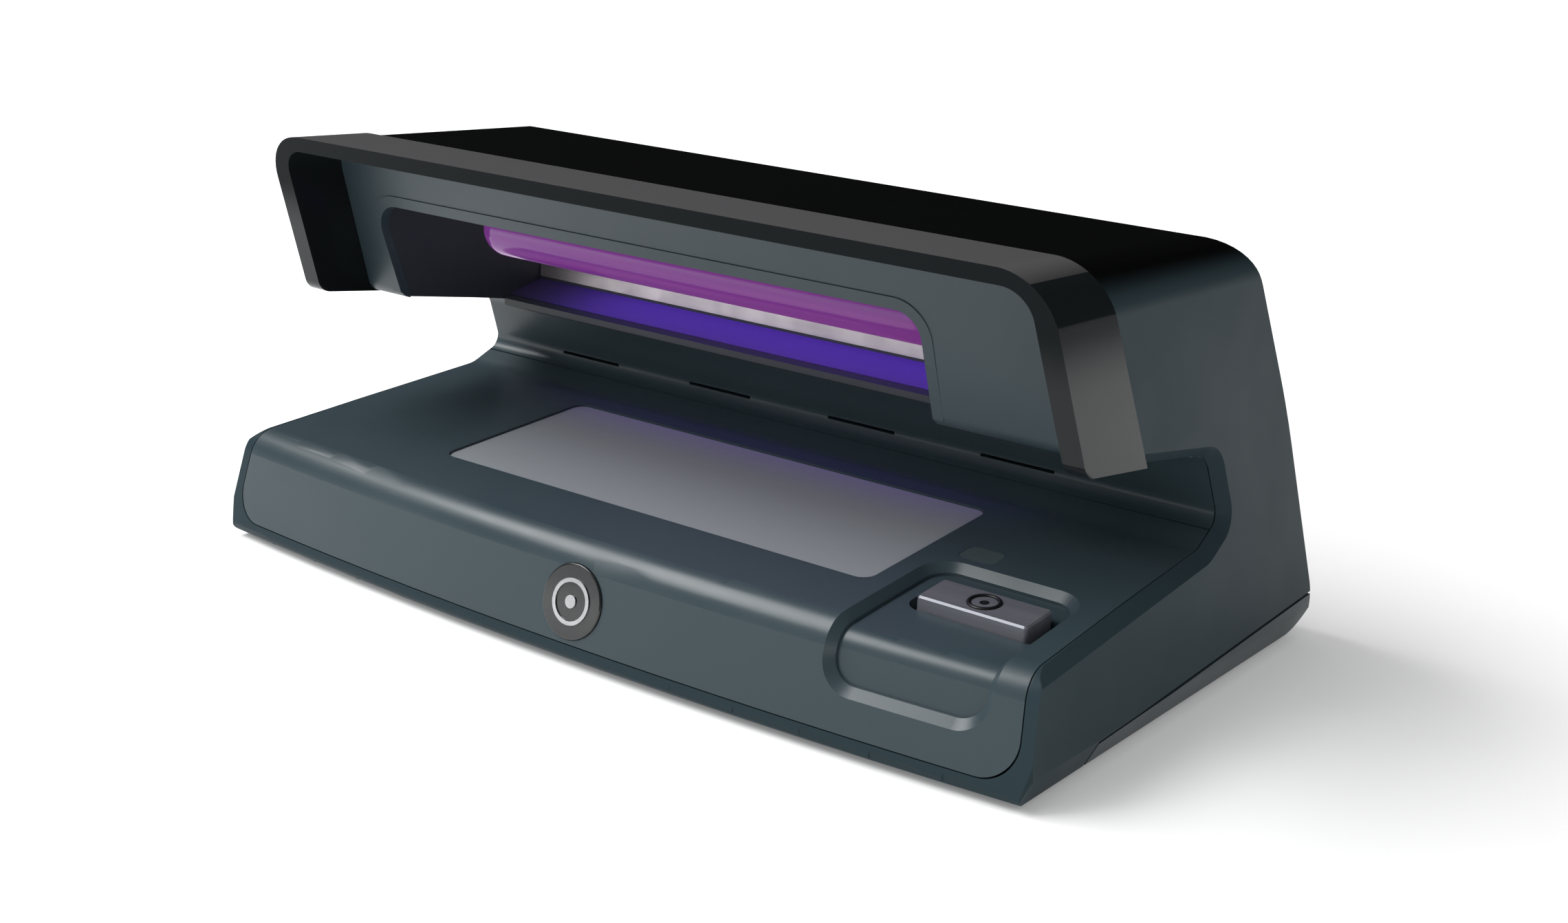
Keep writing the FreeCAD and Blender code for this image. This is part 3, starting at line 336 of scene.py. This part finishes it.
def paint_nodes():
    """A procedural finish for every CAD node, with painted shade on the body's top, a painted reflection on
    the bezel's top and painted lamp light in the chamber.
    """
    housing = moulded("housing_plastic", HOUSING_COLOUR, 0.36)
    paint(housing, "deck_cover", "column_panel")
    body = moulded("body_plastic_painted_shade", BODY_COLOUR, 0.36, specular=0.06)
    # Painted shade: the body's top goes near black where it faces up.
    paint_light_and_shade_on_top(body, body.node_tree.nodes["Principled BSDF"], BODY_TOP_PAINTED_SHADE, BODY_TOP_SHADE_FROM, 0.6)
    paint(body, "main_housing")
    paint(moulded("lamp_panel_plastic", HOUSING_COLOUR, 0.4), "lamp_panel")
    base = moulded("base_plastic", (0.038, 0.053, 0.060), 0.42, 1200.0, 0.00004, specular=0.3)
    paint(base, "base_cover")
    gloss, shader = principled("gloss_black", (0.008, 0.010, 0.011), 0.1)
    vary_roughness(gloss, shader, 0.08, 0.12, 120.0)
    fade_specular(gloss, shader, *BEZEL_GLOSS, *BEZEL_FADE)
    # Painted reflection: grey on the bezel's top band.
    paint_light_and_shade_on_top(gloss, shader, BEZEL_TOP_PAINTED_REFLECTION, BEZEL_REFLECTION_FROM, 0.85)
    paint(gloss, "front_bezel")
    paint(moulded("badge_black", (0.012, 0.013, 0.014), 0.25, coat=0.5), "front_badge")
    chamber = moulded("chamber_plastic", (0.028, 0.036, 0.042), 0.5)
    # Painted lamp light: violet where the chamber faces up.
    paint_light_and_shade_on_top(chamber, chamber.node_tree.nodes["Principled BSDF"], CHAMBER_PAINTED_LAMP_LIGHT, CHAMBER_LAMP_LIGHT_FROM)
    paint(chamber, "lamp_chamber")
    paint(moulded("inner_plastic", (0.04, 0.045, 0.05), 0.5), "button_guide", "power_switch", "dc_jack")
    paint(metal("reflector_metal", (0.5, 0.46, 0.48), 0.42, (0.05, 1, 1)), "reflector")
    paint(moulded("ivory_plastic", (0.72, 0.71, 0.66), 0.45), "lamp_cap", "lamp_holder", "board_connectors",
          "switch_plunger", "backlight_tray")
    paint(metal("brass", (0.78, 0.55, 0.24), 0.25), "lamp_pins", "jack_pin")
    paint(metal("steel", (0.56, 0.56, 0.58), 0.3), "base_screws", "board_screws", "holder_screws")
    paint(metal("spring_steel", (0.42, 0.42, 0.44), 0.3), "lamp_clip", "button_spring")
    paint(moulded("rubber", (0.018, 0.018, 0.019), 0.75, 900.0, 0.00008), "rubber_feet")
    paint(label_material(), "rating_plate")
    paint(clear_plastic("frosted_window", (0.3, 0.33, 0.35), 0.45, 0.3), "backlight_window")
    paint(clear_plastic("light_guide_plastic", (0.9, 0.93, 0.95), 0.08, 0.9), "light_guide")
    paint(board_material(), "led_board", "switch_board", "control_board")
    paint(glow("led_white", (0.9, 0.87, 0.62), 0.1), "backlight_leds", "indicator_led")
    paint(moulded("indicator_plastic", (0.05, 0.07, 0.075), 0.2, coat=0.5), "indicator_window")
    paint(key_metal(), "power_button")
    paint(moulded("capacitor_sleeve", (0.02, 0.03, 0.09), 0.25, coat=0.5), "capacitors")
    paint(metal("core_steel", (0.16, 0.16, 0.17), 0.5, (1, 1, 40)), "transformer_core")
    paint(moulded("coil_tape", (0.62, 0.45, 0.06), 0.35, 300.0, 0.00005), "transformer_coil")
    paint(moulded("chip_plastic", (0.015, 0.015, 0.016), 0.5), "board_chips")
    paint(metal("aluminium", (0.7, 0.71, 0.72), 0.32, (1, 1, 0.05)), "heat_sink")
    paint(moulded("white_sleeve", (0.7, 0.7, 0.67), 0.4), "lamp_wires", "switch_wires")
    paint(moulded("red_sleeve", (0.38, 0.02, 0.02), 0.4), "power_wires")
    paint(metal("emblem_metal", (0.6, 0.6, 0.62), 0.25), "badge_emblem")


# ---- pieces that Blender adds or refines -------------------------------------------------------------
def new_piece(name, mesh, material, body, smooth=True):
    piece = bpy.data.objects.new(name, mesh)
    bpy.context.scene.collection.objects.link(piece)
    mesh.materials.append(material)
    for face in mesh.polygons:
        face.use_smooth = smooth
    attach(piece, body)
    return piece


def turned(profile, axis_start, along, sides=48):
    """Mesh turned from a profile of (distance along, radius) about an axis."""
    form = bmesh.new()
    spin = Vector(along).normalized().to_track_quat("Z", "Y").to_matrix()
    rings = []
    for distance, radius in profile:
        ring = []
        for i in range(sides):
            angle = 2 * math.pi * i / sides
            offset = Vector((radius * math.cos(angle), radius * math.sin(angle), distance))
            ring.append(form.verts.new(axis_start + spin @ offset))
        rings.append(ring)
    for low, high in zip(rings, rings[1:]):
        for i in range(sides):
            j = (i + 1) % sides
            form.faces.new((low[i], low[j], high[j], high[i]))
    form.faces.new(reversed(rings[0]))
    form.faces.new(rings[-1])
    return form


def to_mesh(name, *forms):
    """One mesh from several forms, which are freed."""
    mesh = bpy.data.meshes.new(name)
    joined = bmesh.new()
    for form in forms:
        part = bpy.data.meshes.new("part")
        form.to_mesh(part)
        joined.from_mesh(part)
        bpy.data.meshes.remove(part)
        form.free()
    bmesh.ops.recalc_face_normals(joined, faces=joined.faces)
    joined.to_mesh(mesh)
    joined.free()
    return mesh


def swept(name, points, radius, closed, material, body):
    """Round bar along points, as a mesh piece."""
    curve = bpy.data.curves.new(name, "CURVE")
    curve.dimensions = "3D"
    curve.bevel_depth = radius
    curve.bevel_resolution = 3
    spline = curve.splines.new("POLY")
    spline.points.add(len(points) - 1)
    for node, place in zip(spline.points, points):
        node.co = (*place, 1)
    spline.use_cyclic_u = closed
    holder = bpy.data.objects.new(name + "_line", curve)
    mesh = bpy.data.meshes.new_from_object(holder)
    bpy.data.objects.remove(holder)
    return new_piece(name, mesh, material, body)


def lamp_glass(material):
    """The two round-ended tubes and the bridge between them."""
    low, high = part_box("uv_lamp_tubes")
    pitch = (high.y - low.y) - 2 * TUBE_RADIUS
    height = (low.z + high.z) / 2
    forms = []
    steps = 10
    for y in (low.y + TUBE_RADIUS, high.y - TUBE_RADIUS):
        angles = [i * math.pi / 2 / steps for i in range(steps + 1)]
        dome = [(TUBE_RADIUS * (1 - math.cos(a)), TUBE_RADIUS * math.sin(a)) for a in angles]
        dome[0] = (0, TUBE_RADIUS * 0.03)
        profile = dome + [(high.x - low.x, TUBE_RADIUS)]
        forms.append(turned(profile, Vector((low.x, y, height)), (1, 0, 0)))
    bridge = Vector((low.x + 1.5 * TUBE_RADIUS, low.y + TUBE_RADIUS, height))
    forms.append(turned([(0, 2.5 * MM), (pitch, 2.5 * MM)], bridge, (0, 1, 0), 24))
    piece = new_piece("lamp_glass", to_mesh("lamp_glass", *forms), material, "housing")
    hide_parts("uv_lamp_tubes")


def on_key(x, y, z=0.0):
    """Point above the middle of the key's tilted top, offsets in metres."""
    tilt = Matrix.Rotation(DECK_TILT, 3, "X")
    top = Vector((key_middle.x, key_middle.y, key_high.z - math.sin(DECK_TILT) * TOP_SETBACK))
    return top + tilt @ Vector((x, y, z))


def key_symbol(material):
    """Plain ring around a dot on the key."""
    height = 0.03 * MM
    ring = [on_key(SYMBOL_RADIUS * math.cos(a), SYMBOL_RADIUS * math.sin(a), height)
            for a in [2 * math.pi * i / 48 for i in range(48)]]
    swept("key_ring", ring, SYMBOL_LINE, True, material, "button")
    centre = on_key(0, 0, -0.2 * MM)
    normal = Matrix.Rotation(DECK_TILT, 3, "X") @ Vector((0, 0, 1))
    dot_profile = [(0, SYMBOL_DOT), (0.23 * MM, SYMBOL_DOT), (0.26 * MM, SYMBOL_DOT - 0.1 * MM)]
    dot = turned(dot_profile, centre, normal, 32)
    new_piece("key_dot", to_mesh("key_dot", dot), material, "button", smooth=False)


def return_spring(material):
    """Round-wire coil around the key's stem."""
    low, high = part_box("button_spring")
    middle = (low + high) / 2
    wire, turns, steps = 0.3 * MM, 4, 28
    radius = (high.x - low.x) / 2 - wire
    rise = high.z - low.z - 2 * wire
    points = []
    for i in range(turns * steps + 1):
        angle = 2 * math.pi * i / steps
        height = low.z + wire + rise * i / (turns * steps)
        points.append((middle.x + radius * math.cos(angle), middle.y + radius * math.sin(angle), height))
    piece = swept("return_spring", points, wire, False, material, "housing")
    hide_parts("button_spring")
    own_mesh(piece)


def board_trim(body_material, band_material):
    """Small resistors and diodes lying on the control board."""
    low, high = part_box("control_board")
    barrel = [(0, 0.5 * MM), (0.3 * MM, 0.9 * MM), (3.2 * MM, 0.9 * MM), (3.5 * MM, 0.5 * MM)]
    band = [(0, 0.92 * MM), (0.4 * MM, 0.92 * MM)]
    forms, bands = [], []
    for i in range(RESISTORS):
        start = Vector((low.x + (24 + 5 * i) * MM, low.y + 6 * MM, high.z + 1.0 * MM))
        forms.append(turned(barrel, start, (0, 1, 0), 20))
        for offset in (1.0 * MM, 2.1 * MM):
            bands.append(turned(band, start + Vector((0, offset, 0)), (0, 1, 0), 20))
    new_piece("board_resistors", to_mesh("board_resistors", *forms), body_material, "housing")
    new_piece("resistor_bands", to_mesh("resistor_bands", *bands), band_material, "housing")


def soften(width, *names):
    """Small rounded edges on the visible mouldings."""
    for name in names:
        custom = nodes[name].data.attributes.get("custom_normal")
        if custom:
            nodes[name].data.attributes.remove(custom)
        for face in nodes[name].data.polygons:
            face.use_smooth = True
        weld = nodes[name].modifiers.new("weld", "WELD")
        weld.merge_threshold = 0.000002
        bevel = nodes[name].modifiers.new("edges", "BEVEL")
        bevel.width = width
        bevel.segments = 2
        bevel.limit_method = "ANGLE"
        bevel.angle_limit = math.radians(35)
        even = nodes[name].modifiers.new("normals", "WEIGHTED_NORMAL")
        even.keep_sharp = True


def add_pieces():
    black, _ = principled("symbol_black", (0.006, 0.006, 0.007), 0.4)
    add_grain(black, black.node_tree.nodes["Principled BSDF"], 900.0, 0.00001)
    lamp_glass(glowing_tube())
    key_symbol(black)
    return_spring(metal("spring_wire", (0.45, 0.45, 0.47), 0.25))
    board_trim(moulded("resistor_body", (0.5, 0.38, 0.22), 0.4),
               moulded("resistor_band", (0.3, 0.03, 0.02), 0.4))


# ---- camera, lights, floor ----------------------------------------------------------------------------
def add_camera():
    data = bpy.data.cameras.new("camera")
    data.lens = CAMERA_LENS
    data.shift_x, data.shift_y = CAMERA_SHIFT
    data.clip_start = 0.01
    camera = bpy.data.objects.new("camera", data)
    bpy.context.scene.collection.objects.link(camera)
    around = Matrix.Rotation(CAMERA_AZIMUTH, 3, "Z")
    down = Matrix.Rotation(math.pi / 2 - CAMERA_ELEVATION, 3, "X")
    turn = around @ down @ Matrix.Rotation(CAMERA_ROLL, 3, "Z")
    camera.location = CAMERA_PLACE
    camera.rotation_euler = turn.to_euler()
    bpy.context.scene.camera = camera


def area_light(name, place, aim, size, energy, reflected, colour=(1, 1, 1)):
    data = bpy.data.lights.new(name, "AREA")
    data.shape = "RECTANGLE"
    data.size, data.size_y = size
    data.energy = energy
    data.color = colour
    lamp = bpy.data.objects.new(name, data)
    bpy.context.scene.collection.objects.link(lamp)
    lamp.location = place
    lamp.rotation_euler = (Vector(aim) - Vector(place)).to_track_quat("-Z", "Y").to_euler()
    lamp.visible_camera = False
    lamp.visible_glossy = reflected
    return lamp


def add_lights():
    for light in STUDIO_LIGHTS:
        area_light(*light)
    tubes_low, tubes_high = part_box("uv_lamp_tubes")
    middle = (tubes_low + tubes_high) / 2
    behind = (middle.x, tubes_high.y + 1 * MM, middle.z - 2 * MM)
    low_rear = (middle.x, *LAMP_LIGHT_AIM)
    rear = area_light("lamp_light", behind, low_rear, LAMP_LIGHT_SIZE, LAMP_LIGHT_WATTS, False, VIOLET)
    rear.data.spread = LAMP_LIGHT_SPREAD


def add_world():
    """White to the camera, dim in reflections, soft grey light otherwise."""
    world = bpy.data.worlds.new("studio")
    bpy.context.scene.world = world
    world.use_nodes = True
    tree = world.node_tree
    shades = [tree.nodes["Background"], tree.nodes.new("ShaderNodeBackground"),
              tree.nodes.new("ShaderNodeBackground")]
    for shade, colour in zip(shades, (WORLD_DIFFUSE, WORLD_GLOSSY, WORLD_CAMERA)):
        shade.inputs["Color"].default_value = colour
    path = tree.nodes.new("ShaderNodeLightPath")
    shown = shades[0].outputs["Background"]
    for ray, shade in (("Is Glossy Ray", shades[1]), ("Is Camera Ray", shades[2])):
        mix = tree.nodes.new("ShaderNodeMixShader")
        tree.links.new(path.outputs[ray], mix.inputs["Fac"])
        tree.links.new(shown, mix.inputs[1])
        tree.links.new(shade.outputs["Background"], mix.inputs[2])
        shown = mix.outputs["Shader"]
    tree.links.new(shown, tree.nodes["World Output"].inputs["Surface"])


def add_floor():
    mesh = bpy.data.meshes.new("floor")
    half = FLOOR_HALF
    corners = [(-half, -half, 0), (half, -half, 0), (half, half, 0), (-half, half, 0)]
    mesh.from_pydata(corners, [], [(0, 1, 2, 3)])
    floor = bpy.data.objects.new("floor", mesh)
    bpy.context.scene.collection.objects.link(floor)
    material, shader = principled("floor_white", (0.8, 0.8, 0.8), 0.9, specular=0.1)
    shader.inputs["Emission Color"].default_value = (1, 1, 1, 1)
    # Glow by distance from the object, weaker near it: painted shade around the object's foot.
    distance = add(material, "ShaderNodeVectorMath", operation="LENGTH")
    link(material, place_texture(material), distance.inputs[0])
    spread = add(material, "ShaderNodeMapRange", interpolation_type="SMOOTHSTEP")
    spread.inputs["From Min"].default_value, spread.inputs["From Max"].default_value = FLOOR_GLOW_REACH
    spread.inputs["To Min"].default_value, spread.inputs["To Max"].default_value = FLOOR_GLOW
    link(material, distance.outputs["Value"], spread.inputs["Value"])
    link(material, spread.outputs["Result"], shader.inputs["Emission Strength"])
    mesh.materials.append(material)
    floor.location.z = cad_low.z - FLOOR_DROP


paint_nodes()
add_pieces()
soften(EDGE_ROUND, "main_housing", "column_panel", "base_cover", "front_bezel", "lamp_panel")
add_camera()
add_lights()
add_world()
add_floor()
bpy.context.scene.view_settings.view_transform = "Standard"
